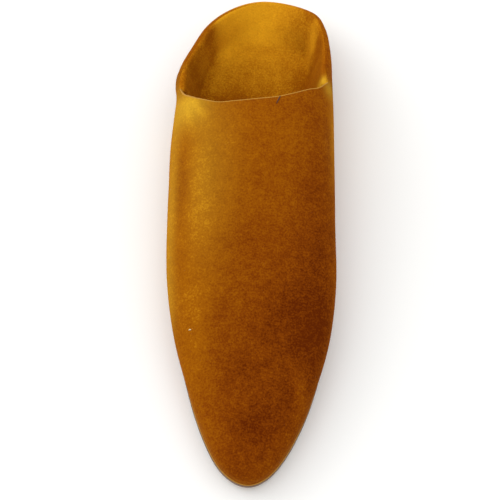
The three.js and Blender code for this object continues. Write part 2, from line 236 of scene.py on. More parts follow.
def inward(rows, side, angle):
    """The unit vector in plan that points from the outline into the shoe."""
    step = 1e-3
    inner_angle = np.clip(angle, step, math.pi - step)
    along = outline(rows, side, inner_angle + step) - outline(rows, side, inner_angle - step)
    along /= np.linalg.norm(along, axis=-1, keepdims=True)
    into = np.stack([-SIGN[side] * along[..., 1], SIGN[side] * along[..., 0]], -1)
    into[angle < step] = (0, 1)
    into[angle > math.pi - step] = (0, -1)
    return into


def inset(rows, side, angle, distance):
    return outline(rows, side, angle) + inward(rows, side, angle) * distance


BACK_OF_HEEL = outline(LAST, "inner", math.pi)
print("last, mm from the tip of the toe to the back of the heel:", round(float(BACK_OF_HEEL[1]), 1))

# %% [markdown]
# ## Heights along the foot
# The sole is flat under the ball and the heel, and lifts a little at the waist and at the toe. The
# upper leaves it, bellies out to its widest outline, and closes over the instep in an arch that is
# flatter on top than an ellipse.

# %% Heights
def sole_rise(from_toe):
    toe = np.clip((SPRING_START - from_toe) / SPRING_START, 0, 1)
    waist = np.clip((from_toe - WAIST_START) / (WAIST_END - WAIST_START), 0, 1)
    return TOE_SPRING * toe ** 2 + WAIST_RISE * np.sin(math.pi * waist) ** 2


def foot_of_upper(from_toe):
    return sole_rise(from_toe) + SOLE_THICKNESS + GAP


def flap_floor(from_toe):
    return foot_of_upper(from_toe) + INSOLE_THICKNESS + FLAP_CLEARANCE + WALL


def bulge_height(from_toe):
    return foot_of_upper(from_toe) + value(LAST, "bulge", from_toe)


def arch_height(plan):
    x, from_toe = plan[..., 0], plan[..., 1]
    outer, inner = round_value(LAST, "outer", from_toe), round_value(LAST, "inner", from_toe)
    half = np.maximum(np.where(x < 0, outer, inner), 1e-9)
    across = np.minimum(1, np.abs(x) / half)
    share = (1 - across ** ROUND) ** (1 / ROUND)
    return bulge_height(from_toe) + round_value(LAST, "crown", from_toe) * share


print("instep, mm:", round(float(arch_height(np.array([0.0, 185.0]))), 1))

# %% [markdown]
# ## The upper, as columns
# The upper is one piece of suede, so it is one skin. It is laid out like the staves of a barrel: each
# column climbs from the sole at one place of the outline, over the arch, and on down inside where the
# quarter is folded. The same layout as the solid part's, with many more columns, so the two match.

# %% The columns of one side
VAMP_COLUMNS, QUARTER_COLUMNS = 92, 76
WALL_ROWS, ARCH_ROWS, FLAP_ROWS = 10, 100, 44
PINCH_CROWDING, FLAP_CROWDING = 1.5, 1.4


def pinch_angle(side):
    toe, heel = LAST["from_toe"][0], LAST["from_toe"][-1]
    return math.acos(1 - 2 * (PINCH[side] - toe) / (heel - toe))


def columns_at(side, angle, forward, back):
    """Everything about a row of columns that their rows need. `forward` runs from 0 at the toe to 1
    at the pinch, and `back` from 0 at the pinch to 1 at the back of the heel."""
    angle, forward, back = (np.atleast_1d(np.asarray(v, float)) for v in (angle, forward, back))
    widest = outline(LAST, side, angle)
    foot = inset(SOLE, side, angle, FEATHER_INSET)
    roll = value(FOLD, side + "_roll", widest[:, 1])
    crest = widest + inward(LAST, side, angle) * roll[:, None]
    own = value(FOLD, side + "_height", widest[:, 1])
    return {
        "side": side,
        "forward": forward,
        "back": back,
        "widest": widest,
        "foot": foot,
        "foot_height": foot_of_upper(foot[:, 1]),
        "widest_height": bulge_height(widest[:, 1]),
        "crest": crest,
        "crest_height": lerp(arch_height(crest), own, smooth(back / BLEND)),
    }


PINCH_POINT = {s: columns_at(s, pinch_angle(s), 1, 0)["crest"][0] for s in SIGN}
print("pinch points, mm:", {s: p.round(1).tolist() for s, p in PINCH_POINT.items()})


# %% Rows of the wall and of the arch
def edge_across(rows, side, share):
    """A point of an edge that crosses the foot from pinch to pinch; share is 1 at this side's pinch."""
    xs = np.concatenate([[PINCH_POINT["outer"][0]], rows["across"], [PINCH_POINT["inner"][0]]])
    ys = np.concatenate([[PINCH_POINT["outer"][1]], rows["from_toe"], [PINCH_POINT["inner"][1]]])
    across = PINCH_POINT[side][0] * share
    return np.stack([across, curve_through(xs, ys, across)], -1)


def placed(plan, height):
    return np.concatenate([plan, height[..., None]], -1)


def wall_row(cols, share):
    angle = lerp(WALL_START, math.pi / 2, share)
    out = (math.sin(angle) - math.sin(WALL_START)) / (1 - math.sin(WALL_START))
    up = 1 - math.cos(angle) / math.cos(WALL_START)
    plan = lerp(cols["foot"], cols["widest"], out)
    return placed(plan, lerp(cols["foot_height"], cols["widest_height"], up))


def arch_row(cols, share):
    """On the vamp, in over the instep to its top edge; on the quarter, up and over into the fold,
    along a cubic curve that starts off upright."""
    turn = share * math.pi / 2
    throat = edge_across(THROAT, cols["side"], cols["forward"])
    target = np.where(cols["back"][:, None] > 0, cols["crest"], throat)
    plan = lerp(cols["widest"], target, 1 - math.cos(turn))
    rising = 3 * share * (1 - share) ** 2 * FOLD_UPRIGHT + 3 * share ** 2 * (1 - share) + share ** 3
    fold_plan = lerp(cols["widest"], cols["crest"], share ** 3)
    fold_height = lerp(cols["widest_height"], cols["crest_height"], rising)
    folded = smooth(cols["back"] / BLEND)
    plan = lerp(plan, fold_plan, folded[:, None])
    return placed(plan, lerp(arch_height(plan), fold_height, folded))


mid_column = columns_at("inner", pinch_angle("inner") / 2, 0.5, 0)
print("vamp's height half way to the pinch, mm:", round(float(arch_row(mid_column, 0.5)[0, 2]), 1))

# %% [markdown]
# ## The folded quarter
# Behind the throat the leather does not stop at the rim: it turns over it and lies down inside the
# heel like a bowl. How far down it is depends only on how far inside the fold it lies, so the height
# is read from the distance to the nearest place of the fold. First comes the small radius of the fold
# itself, then a short steep side, then the round of the bowl, and then the flat floor.

# %% The fold as a chain of stations
CREST_STATIONS = 400


def crest_chain(side):
    back = np.linspace(0, 1, CREST_STATIONS + 1)
    cols = columns_at(side, lerp(pinch_angle(side), math.pi, back), np.ones_like(back), back)
    step = 0.02
    cols["back"] = np.maximum(cols["back"], 1e-9)  # the pinch itself counts as a part of the fold
    rise = arch_row(cols, 1) - arch_row(cols, 1 - step)
    climb = np.arctan2(rise[:, 2], np.hypot(rise[:, 0], rise[:, 1]))
    bowl = value(FOLD, "bowl", cols["widest"][:, 1])
    depth = cols["crest_height"] - flap_floor(cols["crest"][:, 1])
    rounded = (FLAP_ROLL * np.cos(climb) + bowl - depth) / (FLAP_ROLL + bowl)
    steepest = np.radians(value(FOLD, "steep", cols["widest"][:, 1]))
    steep = np.minimum(steepest, np.arccos(np.maximum(-1, rounded)))
    rolled = FLAP_ROLL * (np.cos(climb) - np.cos(steep))
    straight = np.maximum(0, depth - rolled - bowl * (1 - np.cos(steep))) / np.tan(steep)
    return np.column_stack([cols["crest"], cols["crest_height"], climb, bowl, steep, straight])


CREST = np.concatenate([crest_chain("outer"), crest_chain("inner")[-2::-1]])
print("fold length, mm:", round(float(np.linalg.norm(np.diff(CREST[:, :3], axis=0), axis=1).sum())))


# %% How far inside the fold a place lies, and how far down
def nearest_crest(plan):
    """For each place in plan: the distance to the fold, and the fold's own sizes there."""
    start, run = CREST[:-1, :2], np.diff(CREST[:, :2], axis=0)
    length_squared = (run ** 2).sum(1)
    found = np.empty((len(plan), CREST.shape[1] + 1))
    for i, p in enumerate(plan):
        share = np.clip(((p - start) * run).sum(1) / length_squared, 0, 1)
        gap = np.hypot(*(start + run * share[:, None] - p).T)
        k = int(gap.argmin())
        found[i, 0] = gap[k]
        found[i, 1:] = lerp(CREST[k], CREST[k + 1], share[k])
    return found


def fall(distance, climb, bowl, steep, straight):
    """How far below the fold the leather lies at a distance inside it."""
    roll_width = FLAP_ROLL * (np.sin(steep) + np.sin(climb))
    turn = np.arcsin(np.clip(distance / FLAP_ROLL - np.sin(climb), -1, 1))
    on_roll = FLAP_ROLL * (np.cos(climb) - np.cos(turn))
    rolled = FLAP_ROLL * (np.cos(climb) - np.cos(steep))
    past = distance - roll_width
    on_side = rolled + past * np.tan(steep)
    to_floor = np.clip(straight + bowl * np.sin(steep) - past, 0, bowl)
    round_part = bowl * (np.sqrt(1 - (to_floor / bowl) ** 2) - np.cos(steep))
    in_bowl = rolled + straight * np.tan(steep) + round_part
    return np.where(distance < roll_width, on_roll, np.where(past < straight, on_side, in_bowl))


print("fold, mm high:", round(float(CREST[:, 2].min()), 1), "to", round(float(CREST[:, 2].max()), 1))

# %% The folded leather's height anywhere inside the fold
CLOSE = 2 * FLAP_ROLL  # this near the fold, its nearest place alone rules
SETTLING = 3 * FLAP_ROLL  # and over this much more, the rest of it takes over
WEIGHED_EVERY = 4


def flap_height(plan):
    """Close to the fold its nearest place rules; further in, all of it is weighed, the highest most."""
    distance, _, _, top, *sizes = nearest_crest(plan).T
    close = top - fall(distance, *sizes)
    stations = CREST[::WEIGHED_EVERY]
    gaps = np.hypot(*(plan[:, None, :] - stations[None, :, :2]).transpose(2, 0, 1))
    heights = stations[:, 2] - fall(gaps, *stations[:, 3:].T)
    weights = np.exp((heights - heights.max(1, keepdims=True)) / BOWL_SOFTNESS)
    settled = (heights * weights).sum(1) / weights.sum(1)
    return lerp(close, settled, smooth((distance - CLOSE) / SETTLING))


def flap_row(cols, share):
    edge = edge_across(FLAP_EDGE, cols["side"], 1 - cols["back"])
    plan = lerp(cols["crest"], edge, share ** FLAP_CROWDING)
    return placed(plan, flap_height(plan))


HEEL_SEAT = (0.0, 232.0)
print("flap under the heel, mm above the ground:", round(float(flap_height(np.array([HEEL_SEAT]))[0]), 1))

# %% [markdown]
# ## One skin
# The columns of both sides are strung into a ring, up the inner side and back along the outer one.
# In front of the pinches a column ends at the throat; behind them it goes on over the fold.

# %% The ring of columns
def side_columns(side):
    forward = np.linspace(0, 1, VAMP_COLUMNS + 1)
    back = (np.arange(1, QUARTER_COLUMNS + 1) / QUARTER_COLUMNS) ** PINCH_CROWDING
    pinch = pinch_angle(side)
    return columns_at(
        side,
        np.concatenate([pinch * forward, lerp(pinch, math.pi, back)]),
        np.concatenate([forward, np.ones_like(back)]),
        np.concatenate([np.zeros_like(forward), back]),
    )


def side_grid(side):
    """All the points of one side, columns by rows. The vamp's columns have no flap rows."""
    cols = side_columns(side)
    rows = [wall_row(cols, i / WALL_ROWS) for i in range(WALL_ROWS + 1)]
    rows += [arch_row(cols, i / ARCH_ROWS) for i in range(1, ARCH_ROWS + 1)]
    quarter = {k: (v if k == "side" else v[VAMP_COLUMNS + 1:]) for k, v in cols.items()}
    hollow = np.full((VAMP_COLUMNS + 1, 3), np.nan)
    for i in range(1, FLAP_ROWS + 1):
        rows.append(np.concatenate([hollow, flap_row(quarter, i / FLAP_ROWS)]))
    return np.stack(rows, 1)


inner_grid, outer_grid = side_grid("inner"), side_grid("outer")
grid = np.concatenate([inner_grid, outer_grid[-2:0:-1]])
TOP_ROW = WALL_ROWS + ARCH_ROWS
is_vamp = np.isnan(grid[:, -1, 0])
print("ring:", grid.shape[0], "columns, of which on the vamp", int(is_vamp.sum()))


# %% Points and faces of the skin
def skin_of(grid):
    """Points, triangles and the two open edges. A vamp column's flap rows repeat its top point."""
    ids = np.full(grid.shape[:2], -1)
    real = ~np.isnan(grid[..., 0])
    ids[real] = np.arange(real.sum())
    for j in range(TOP_ROW + 1, grid.shape[1]):
        ids[~real[:, j], j] = ids[~real[:, j], TOP_ROW]
    a, b = ids[:, :-1], ids[:, 1:]
    c, d = np.roll(ids, -1, 0)[:, 1:], np.roll(ids, -1, 0)[:, :-1]
    triangles = np.concatenate([np.stack([a, d, c], -1), np.stack([a, c, b], -1)]).reshape(-1, 3)
    distinct = (triangles[:, 0] != triangles[:, 1]) & (triangles[:, 1] != triangles[:, 2])
    distinct &= triangles[:, 0] != triangles[:, 2]
    return grid[real], triangles[distinct], ids[:, 0], ids[:, -1]


points, triangles, foot_edge, top_edge = skin_of(grid)
print("skin:", len(points), "points,", len(triangles), "triangles")

# %% [markdown]
# ## Creases
# Soft suede remembers how it was handled. Each crease is drawn as a short line in plan, with
# its width and its depth: below zero is a trough, above zero a soft ridge. The skin is pushed in or
# out along its own normal, so that a crease keeps its depth on a steep side too.

# %% Normals of a skin
def normals_of(points, triangles, rounds=0):
    """Unit normals weighted by face area, evened out over the neighbours for a number of rounds."""
    corner = points[triangles]
    face = np.cross(corner[:, 1] - corner[:, 0], corner[:, 2] - corner[:, 0])
    normals = np.zeros_like(points)
    for k in range(3):
        np.add.at(normals, triangles[:, k], face)
    normals /= np.maximum(np.linalg.norm(normals, axis=1, keepdims=True), 1e-12)
    for _ in range(rounds):
        total = normals.copy()
        for k in range(3):
            np.add.at(total, triangles[:, k], normals[triangles[:, (k + 1) % 3]])
            np.add.at(total, triangles[:, (k + 1) % 3], normals[triangles[:, k]])
        normals = total / np.maximum(np.linalg.norm(total, axis=1, keepdims=True), 1e-12)
    return normals


NORMAL_ROUNDS = 2
print("normals, one a point:", len(normals_of(points, triangles, NORMAL_ROUNDS)))

# %% Lines and patches on the skin
is_row = np.broadcast_to(np.arange(grid.shape[1]), grid.shape[:2])
on_flap = (is_row > TOP_ROW)[~np.isnan(grid[..., 0])]


def line_distance(points, line):
    """Distance in plan to a line of (across, from toe), and the share of the way along it."""
    line = np.array(line, float)
    reach = np.concatenate([[0], np.cumsum(np.linalg.norm(np.diff(line, axis=0), axis=1))])
    best = np.full(len(points), np.inf)
    along = np.zeros(len(points))
    for k in range(len(line) - 1):
        run = line[k + 1] - line[k]
        share = np.clip((points[:, :2] - line[k]) @ run / (run @ run), 0, 1)
        gap = np.linalg.norm(points[:, :2] - line[k] - run * share[:, None], axis=1)
        near = gap < best
        best[near] = gap[near]
        along[near] = (reach[k] + share[near] * (reach[k + 1] - reach[k])) / reach[-1]
    return best, along


END_SHARE, END_POWER = 0.02, 0.6  # a line fades late, and is not quite gone at its ends


def stroke(points, where, line, half_width):
    """How strongly a line touches each point: one on the line, fading to its sides and its ends."""
    gap, along = line_distance(points, line)
    ends = np.sin(math.pi * np.clip(along, END_SHARE, 1 - END_SHARE)) ** END_POWER
    return np.where(on_flap == (where == "flap"), np.exp(-((gap / half_width) ** 2)) * ends, 0)


print("points on the flap:", int(on_flap.sum()), "of", len(points))

# %% The creases
CREASES = [
    # where, line of (across, from toe), half width, height in mm, tone in the crease: painted shade in a
    # trough, painted highlight on a ridge
    ("vamp", [(-42.8, 199), (-42.0, 196), (-41.2, 192)], 1.6, -0.7, -0.10),
    ("vamp", [(-44.4, 201), (-44.3, 205), (-43.4, 210)], 1.8, 0.7, -0.05),
    ("vamp", [(-45, 192), (-45.4, 180), (-45.6, 168), (-45.6, 152)], 2.4, 0.5, 0.0),
    ("vamp", [(-39.5, 193), (-38, 186), (-36.5, 179), (-35.5, 172)], 3.2, 0.75, 0.15),
    ("vamp", [(-36.5, 191), (-34.5, 186), (-31, 181), (-27, 178)], 2.8, 0.55, 0.13),
    ("vamp", [(-37.5, 190), (-35, 183), (-32.5, 177), (-30, 172)], 1.8, -0.5, -0.12),
    ("vamp", [(-32, 187.5), (-28, 184), (-24, 181.5)], 1.8, -0.5, -0.12),
    ("vamp", [(-30.5, 176), (-29.5, 158), (-28.5, 142), (-27, 124)], 5.5, 0.5, 0.05),
    ("vamp", [(-39.2, 160), (-39, 148), (-38.7, 134), (-38.2, 120)], 3.0, -0.4, -0.09),
    ("vamp", [(-23, 168), (-22, 150), (-20.5, 132)], 4.5, -0.3, -0.05),
    ("vamp", [(33, 186), (33.6, 176), (34.2, 166), (34.6, 154)], 2.0, -0.5, -0.12),
    ("vamp", [(19.5, 58), (23, 49), (24.5, 40), (25, 31)], 3.4, 0.6, 0.15),
    ("vamp", [(16, 52), (18.5, 42), (19.5, 32)], 4.0, -0.4, -0.05),
    ("vamp", [(-10, 29), (-2, 25), (6, 24), (13, 27)], 5.5, -0.7, -0.09),
    ("vamp", [(-18, 60), (-10, 52), (0, 49)], 5.0, -0.35, -0.05),
    ("vamp", [(5, 96), (14, 88), (22, 78)], 5.5, -0.35, -0.06),
    ("vamp", [(-20, 118), (-8, 113), (4, 114)], 6.0, -0.3, -0.04),
    ("flap", [(-22, 238), (-10, 240.5), (4, 240), (16, 237)], 3.0, -0.2, -0.06),
    ("flap", [(-32, 214), (-29, 222), (-25, 231)], 2.4, -0.5, -0.08),
    ("flap", [(28.2, 243), (28, 234), (27.5, 226), (22.5, 222)], 1.9, -0.6, -0.16),
    ("flap", [(24.2, 247), (24.8, 240), (25, 231)], 2.2, 0.5, 0.18),
]
push = np.zeros(len(points))
for where, line, half_width, height, _ in CREASES:
    push += height * stroke(points, where, line, half_width)
points = points + normals_of(points, triangles, NORMAL_ROUNDS) * push[:, None]
print("creases:", len(CREASES), "deepest, mm:", round(float(push.min()), 2))

# %% [markdown]
# ## The lie of the nap, with painted light and shade
# Suede is two-toned. Brushed one way its fibres lean towards the light and it looks pale ochre, and
# brushed the other way it looks a deep red brown. Soft patches give both, each listed with its reach
# across and along the foot, and many of them are painted light and shade as well: paler on the outer
# side, which faces the lamps, deeper on the inner side and at the toe, and darker in the hollows of the
# bowl, under the vamp's top edge and at the pinches. The creases add their own tone: painted shade in a
# trough, painted highlight on a ridge.

# %% Nap and painted light and shade, from 0 (deep) to 1 (pale)
# besides the nap's two tones, these patches paint light and shade: paler along the outer side, which faces
# the lamps, and deeper on the inner side and at the toe, which face away from them
NAP_AND_PAINTED_LIGHT_PATCHES = [
    # where, across, from toe, reach across, reach along, amount
    ("vamp", 0, 150, 60, 62, 0.12),
    ("vamp", -30, 138, 9, 60, 0.08),
    ("vamp", -35, 95, 9, 50, 0.07),
    ("vamp", -18, 152, 8, 44, 0.04),
    ("vamp", 8, 108, 13, 50, -0.06),
    ("vamp", 25, 111, 6, 13, 0.06),
    ("vamp", 29, 190, 7, 9, 0.06),
    ("vamp", 33, 78, 5, 22, -0.10),
    ("vamp", 23, 54, 8, 22, -0.08),
    # painted highlight along the lit outer edge
    ("vamp", -44, 130, 3.5, 80, 0.12),
    ("vamp", -36, 187, 10, 13, 0.11),
    # deeper nap and painted shade on the inner side and at the toe, which face away from the lamps
    ("vamp", 29, 125, 13, 66, -0.17),
    ("vamp", 26, 80, 13, 34, -0.11),
    ("vamp", 6, 62, 17, 30, -0.13),
    ("vamp", 5, 24, 16, 20, -0.17),
    ("vamp", -28, 62, 7, 34, 0.12),
    ("vamp", -18, 26, 6, 16, 0.06),
    ("vamp", 2, 8, 16, 5, 0.01),
    # painted sheen along the inner edge by the throat
    ("vamp", 36, 176, 3.5, 26, 0.22),
    ("vamp", 29, 36, 4, 20, -0.03),
    ("vamp", 0, 240, 60, 30, 0.10),
    ("vamp", 0, 266, 42, 12, 0.40),
    # painted shadow in the fold at each pinch
    ("vamp", -43.5, 206, 4, 6.5, -0.16),
    ("vamp", 36.5, 205, 2.5, 5, -0.30),
    # painted light on the back of the bowl, which faces away from the lamps
    ("flap", -4, 253, 24, 15, 0.32),
    ("flap", 4, 230, 15, 16, 0.05),
    # painted light over the shadow that the outer wall casts into the bowl
    ("flap", -22, 238, 8, 12, 0.18),
    # painted shade on the outer wall of the bowl, which faces away from the lamps
    ("flap", -34, 216, 6, 20, -0.12),
    # painted shadow on the flap under the vamp's top edge
    ("flap", -12, 206, 18, 7, -0.16),
    # painted shade in the hollow under the fold by the inner pinch
    ("flap", 26, 213, 8, 12, -0.18),
    # painted highlight on the small bump at the inner pinch
    ("flap", 30, 204.5, 2.5, 3, 0.24),
    # painted light over the outer wall's shadow in the bowl
    ("flap", -30, 222, 6, 9, 0.14),
    ("flap", 14, 252, 14, 9, -0.10),
    ("flap", 26, 250, 5, 8, -0.08),
    ("flap", -29, 238, 4, 9, -0.20),
]
NAP_BASE = {"vamp": 0.29, "flap": 0.56}
print("patches of nap:", len(NAP_AND_PAINTED_LIGHT_PATCHES))

# %% Painted highlight and sheen in a pale straw tone, on the lit outer side, at the edges and at the pinches
PAINTED_HIGHLIGHT_PATCHES = [
    # where, across, from toe, reach across, reach along, amount
    ("vamp", -37, 186, 9, 12, 0.34),
    ("vamp", -44, 130, 3.5, 75, 0.18),
    ("vamp", -29, 150, 8, 40, 0.10),
    ("vamp", -19, 158, 9, 44, 0.05),
    ("vamp", -42, 76, 4, 22, 0.12),
    ("vamp", 38, 178, 3, 22, 0.14),
    ("vamp", 33.5, 201, 3, 5, 0.26),
    ("flap", 30, 204.5, 2.5, 3, 0.30),
]


def patches(rows):
    """Sum of soft patches, each on the vamp or on the flap, at every point of the skin."""
    total = np.zeros(len(points))
    for where, across, from_toe, reach_across, reach_along, amount in rows:
        off_across = (points[:, 0] - across) / reach_across
        off_along = (points[:, 1] - from_toe) / reach_along
        touch = amount * np.exp(-(off_across ** 2 + off_along ** 2))
        total += np.where(on_flap == (where == "flap"), touch, 0)
    return total


nap = np.where(on_flap, NAP_BASE["flap"], NAP_BASE["vamp"]) + patches(NAP_AND_PAINTED_LIGHT_PATCHES)
# each crease paints shade into its trough and a highlight onto its ridge
for where, line, half_width, _, tone in CREASES:
    nap += tone * stroke(points, where, line, half_width)
nap = np.clip(nap, 0, 1)
# the painted highlight is strongest high on the wall and fades out towards the sole
HIGHLIGHT_FROM, HIGHLIGHT_TO, HIGHLIGHT_LEAST = 7.0, 25.0, 0.3
up_the_wall = smooth((points[:, 2] - HIGHLIGHT_FROM) / (HIGHLIGHT_TO - HIGHLIGHT_FROM))
worn = patches(PAINTED_HIGHLIGHT_PATCHES) * lerp(HIGHLIGHT_LEAST, 1, up_the_wall)
print("nap from", round(float(nap.min()), 2), "to", round(float(nap.max()), 2))
# the strongest painted highlight
print("wear up to", round(float(worn.max()), 2))

# %% [markdown]
# ## From a skin to a wall of leather
# The lining side is the same skin, one wall further in, turned over. The two are joined along the
# sole and along the throat, where the cut edge of the leather shows as a thin pale line.

# %% The upper as one closed piece
ORIGIN = np.array([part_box("upper")[0].x / MM - np.nanmin(grid[..., 0]), cad_box[0][1] / MM, 0])
SUEDE_SIDE, LINING_SIDE, CUT_SIDE = range(3)
LINING_ROUNDS = 4


def in_frame(points):
    """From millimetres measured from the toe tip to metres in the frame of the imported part."""
    return (points + ORIGIN) * MM


def closed_wall(points, triangles, foot, top, wall):
    """The skin, its lining and the two rims as one mesh, and the finish of every face."""
    lining = points - normals_of(points, triangles, LINING_ROUNDS) * wall
    n = len(points)

    def rim(edge, flip):
        a, b = edge, np.roll(edge, -1)
        quads = np.concatenate([np.stack([a, b, b + n], 1), np.stack([a, b + n, a + n], 1)])
        quads = quads[quads[:, 0] != quads[:, 1]]
        return quads[:, ::-1] if flip else quads

    parts = [triangles, triangles[:, ::-1] + n, rim(top, False), rim(foot, True)]
    kinds = np.repeat([SUEDE_SIDE, LINING_SIDE, CUT_SIDE, LINING_SIDE], [len(p) for p in parts])
    return np.concatenate([points, lining]), np.concatenate(parts), kinds


def mesh_object(name, points, faces, kinds=None, smooth_shading=True):
    mesh = bpy.data.meshes.new(name)
    mesh.from_pydata([tuple(p) for p in points], [], [tuple(int(i) for i in f) for f in faces])
    if kinds is not None:
        mesh.polygons.foreach_set("material_index", np.asarray(kinds, np.int32))
    mesh.polygons.foreach_set("use_smooth", [smooth_shading] * len(mesh.polygons))
    mesh.validate()
    mesh.update()
    obj = bpy.data.objects.new(name, mesh)
    bpy.context.scene.collection.objects.link(obj)
    return obj


wall_points, wall_faces, wall_kinds = closed_wall(points, triangles, foot_edge, top_edge, WALL)
upper = mesh_object("suede_upper", in_frame(wall_points), wall_faces, wall_kinds)
for label, tones in (("nap", nap), ("worn", worn)):
    layer = upper.data.attributes.new(label, "FLOAT", "POINT")
    layer.data.foreach_set("value", np.concatenate([tones, tones]).astype(np.float32))
print("upper:", len(wall_faces), "triangles")

# %% [markdown]
# ## Helpers for the finishes
# Colours are written as the hex values a maker would pick from a swatch, and one function turns them
# to the linear values that light is worked out in. One more adds a node with its settings and links.

# %% Colour and node helpers
def linear(hex_colour):
    channels = [int(hex_colour[i:i + 2], 16) / 255 for i in (1, 3, 5)]
    return [c / 12.92 if c <= 0.04045 else ((c + 0.055) / 1.055) ** 2.4 for c in channels] + [1.0]


def new_material(name):
    material = bpy.data.materials.new(name)
    material.use_nodes = True
    tree = material.node_tree
    return material, tree, tree.nodes["Principled BSDF"]


def node(tree, kind, settings=None, **inputs):
    """Adds a node. An input given as a socket is linked, and any other value is set on the socket."""
    made = tree.nodes.new(kind)
    for name, setting in (settings or {}).items():
        setattr(made, name, setting)
    for name, given in inputs.items():
        key = int(name[1:]) if name[0] == "i" and name[1:].isdigit() else name.replace("_", " ")
        if isinstance(given, bpy.types.NodeSocket):
            tree.links.new(given, made.inputs[key])
        else:
            made.inputs[key].default_value = given
    return made


print("mustard in linear light:", [round(c, 3) for c in linear("#B87A14")])

# %% [markdown]
# ## Suede
# Suede is the flesh side of the skin, sanded to a nap of short fibres. It has no gloss: the fibres
# scatter light, and at a grazing angle they catch it, which is what sheen does. Dye takes unevenly,
# in soft clouds a few centimetres across, and each tuft leans its own way, which gives the fine
# speckle of about a millimetre. A single fibre is a tenth of that and would not show, so the fibres
# are drawn as coarse as half a millimetre.

# %% Sizes of the suede's pattern
CLOUD, MOTTLE, TUFT, FIBRE = 29.4, 3.85, 0.909, 0.556
NOISE_LOW, NOISE_HIGH = 0.32, 0.68  # nearly all of a noise lies between these
DYE = {0.0: "#581E00", 0.24: "#7A3802", 0.5: "#985604", 1.0: "#EFAC1E"}
HIGHLIGHT_STRAW = "#E4C038"
SPREAD = 1.2  # the deeper the nap lies below this, the more its tone varies


def noise_of(tree, where, size, detail=3.0, roughness=0.6):
    """Noise whose features are about a size in millimetres."""
    made = node(tree, "ShaderNodeTexNoise", Vector=where, Scale=1 / (size * MM), Detail=detail,
                Roughness=roughness)
    return made.outputs["Fac"]


def swing(tree, noise, amount):
    """A noise stretched to run from minus an amount to plus that amount."""
    made = node(tree, "ShaderNodeMapRange", i0=noise, i1=NOISE_LOW, i2=NOISE_HIGH, i3=-amount, i4=amount)
    return made.outputs[0]


print("suede's pattern, mm:", CLOUD, MOTTLE, TUFT, FIBRE)


# %% Material: brushed suede
def suede_material():
    material, tree, shader = new_material("brushed_suede")
    where = node(tree, "ShaderNodeTexCoord").outputs["Object"]
    # the tone is the nap's, with painted light and shade added in by the patches and the creases
    nap_and_light_share = node(tree, "ShaderNodeAttribute", {"attribute_name": "nap"}).outputs["Fac"]
    tufts = noise_of(tree, where, TUFT)
    fibres = noise_of(tree, where, FIBRE, detail=2.0)
    depth = node(tree, "ShaderNodeMath", {"operation": "SUBTRACT"}, i0=SPREAD, i1=nap_and_light_share).outputs[0]
    lean_and_shade = nap_and_light_share
    for noise, amount in (
        (noise_of(tree, where, CLOUD), 0.06),
        (noise_of(tree, where, MOTTLE), 0.06),
        (tufts, 0.13),
    ):
        added = node(tree, "ShaderNodeMath", {"operation": "MULTIPLY_ADD"}, i0=swing(tree, noise, amount),
                     i1=depth, i2=lean_and_shade)
        lean_and_shade = added.outputs[0]
    dye = node(tree, "ShaderNodeValToRGB", i0=lean_and_shade)
    stops = dye.color_ramp.elements
    for place in list(DYE)[1:-1]:
        stops.new(place)
    for stop, tone in zip(stops, DYE.values()):
        stop.color = linear(tone)
    # a pale straw tone painted in as highlight and sheen
    highlight_share = node(tree, "ShaderNodeAttribute", {"attribute_name": "worn"}).outputs["Fac"]
    highlighted = node(tree, "ShaderNodeMix", {"data_type": "RGBA"}, i0=highlight_share, i6=dye.outputs["Color"],
                 i7=linear(HIGHLIGHT_STRAW))
    tree.links.new(highlighted.outputs[2], shader.inputs["Base Color"])
    # a nap has hardly any gloss, and its fibre tips catch the light at the edge of the form
    shader.inputs["Roughness"].default_value = 1.0
    shader.inputs["IOR"].default_value = 1.4
    shader.inputs["Specular IOR Level"].default_value = 0.05
    shader.inputs["Sheen Weight"].default_value = 0.16
    shader.inputs["Sheen Roughness"].default_value = 0.5
    shader.inputs["Sheen Tint"].default_value = linear("#E09A10")
    coarse = node(tree, "ShaderNodeBump", Height=tufts, Strength=0.5, Distance=0.6 * MM)
    fine = node(tree, "ShaderNodeBump", Height=fibres, Strength=0.4, Distance=0.3 * MM,
                Normal=coarse.outputs[0])
    tree.links.new(fine.outputs[0], shader.inputs["Normal"])
    return material


suede = suede_material()
print("made", suede.name)

# %% [markdown]
# ## Lining and cut edge
# Inside, the shell shows smooth undyed lining leather, satin rather than shiny. The cut edge round the
# throat is raw leather that has taken a little of the dye, paler and duller than the nap beside it. Pores
# and edge fibres are finer than a millimetre, and both are drawn at about that size so that they show.

# %% Materials: lining leather, cut edge
LINING_CLOUD, PORE, EDGE_FIBRE = 25.0, 1.11, 1.11


def mixed(tree, share, dark, pale):
    """Two swatches of one leather, mixed by a share."""
    made = node(tree, "ShaderNodeMix", {"data_type": "RGBA"}, i0=share, i6=linear(dark), i7=linear(pale))
    return made.outputs[2]


def lining_material():
    material, tree, shader = new_material("lining_leather")
    where = node(tree, "ShaderNodeTexCoord").outputs["Object"]
    clouds = noise_of(tree, where, LINING_CLOUD, 4.0, 0.5)
    pores = node(tree, "ShaderNodeTexVoronoi", {"feature": "DISTANCE_TO_EDGE"}, Vector=where,
                 Scale=1 / (PORE * MM))
    tree.links.new(mixed(tree, clouds, "#A87840", "#C09058"), shader.inputs["Base Color"])
    shader.inputs["Roughness"].default_value = 0.62
    grain = node(tree, "ShaderNodeBump", Height=pores.outputs["Distance"], Strength=0.3, Distance=0.3 * MM)
    tree.links.new(grain.outputs[0], shader.inputs["Normal"])
    return material


def cut_edge_material():
    material, tree, shader = new_material("cut_leather_edge")
    where = node(tree, "ShaderNodeTexCoord").outputs["Object"]
    grain = noise_of(tree, where, EDGE_FIBRE)
    tree.links.new(mixed(tree, grain, "#9C660C", "#C08C24"), shader.inputs["Base Color"])
    shader.inputs["Roughness"].default_value = 0.8
    return material


